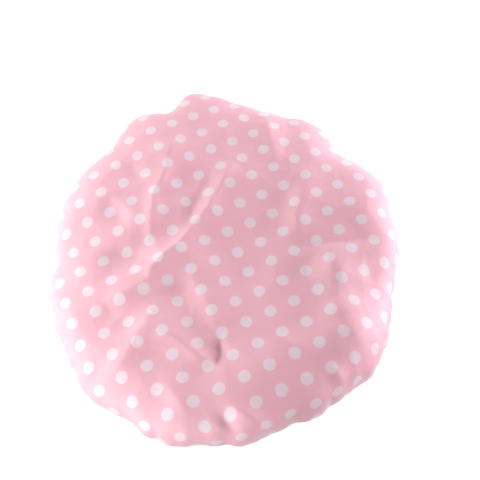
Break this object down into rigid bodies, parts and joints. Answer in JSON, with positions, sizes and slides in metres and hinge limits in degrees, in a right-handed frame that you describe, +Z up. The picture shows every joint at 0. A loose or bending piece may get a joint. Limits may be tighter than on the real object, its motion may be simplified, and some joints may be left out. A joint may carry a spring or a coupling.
{
  "type": "shower cap",
  "caption": "Round gathered shower cap in pink polka-dot waterproof cloth, lying on its elastic hem, with a film lining and a round head opening underneath.",
  "frame": {"origin": "on the table under the middle of the lying cap's bounding box, at the middle of the head opening", "axes": "+Z up from the table through the crown, +Y away from the viewer along the cap's longer way, +X to the viewer's right"},
  "size_m": [0.2852, 0.3256, 0.0549],
  "materials": {
    "printed_cloth": "satin",
    "lining_film": "satin",
    "binding_tape": "matte",
    "elastic": "matte",
    "white_thread": "matte",
    "pink_thread": "matte"
  },
  "bodies": {
    "hem": {"hem_binding": "binding_tape", "elastic_band": "elastic", "elastic_bar_tack": "white_thread", "outer_stitch_row": "pink_thread", "inner_stitch_row": "pink_thread"},
    "crown": {"outer_shell": "printed_cloth", "inner_lining": "lining_film"}
  },
  "joints": [
    {"name": "crown_loft", "type": "slide", "parent": "hem", "child": "crown", "axis": [0, 0, 1], "range_m": [-0.015, 0.035], "deforming": ["outer_shell", "inner_lining"]}
  ]
}
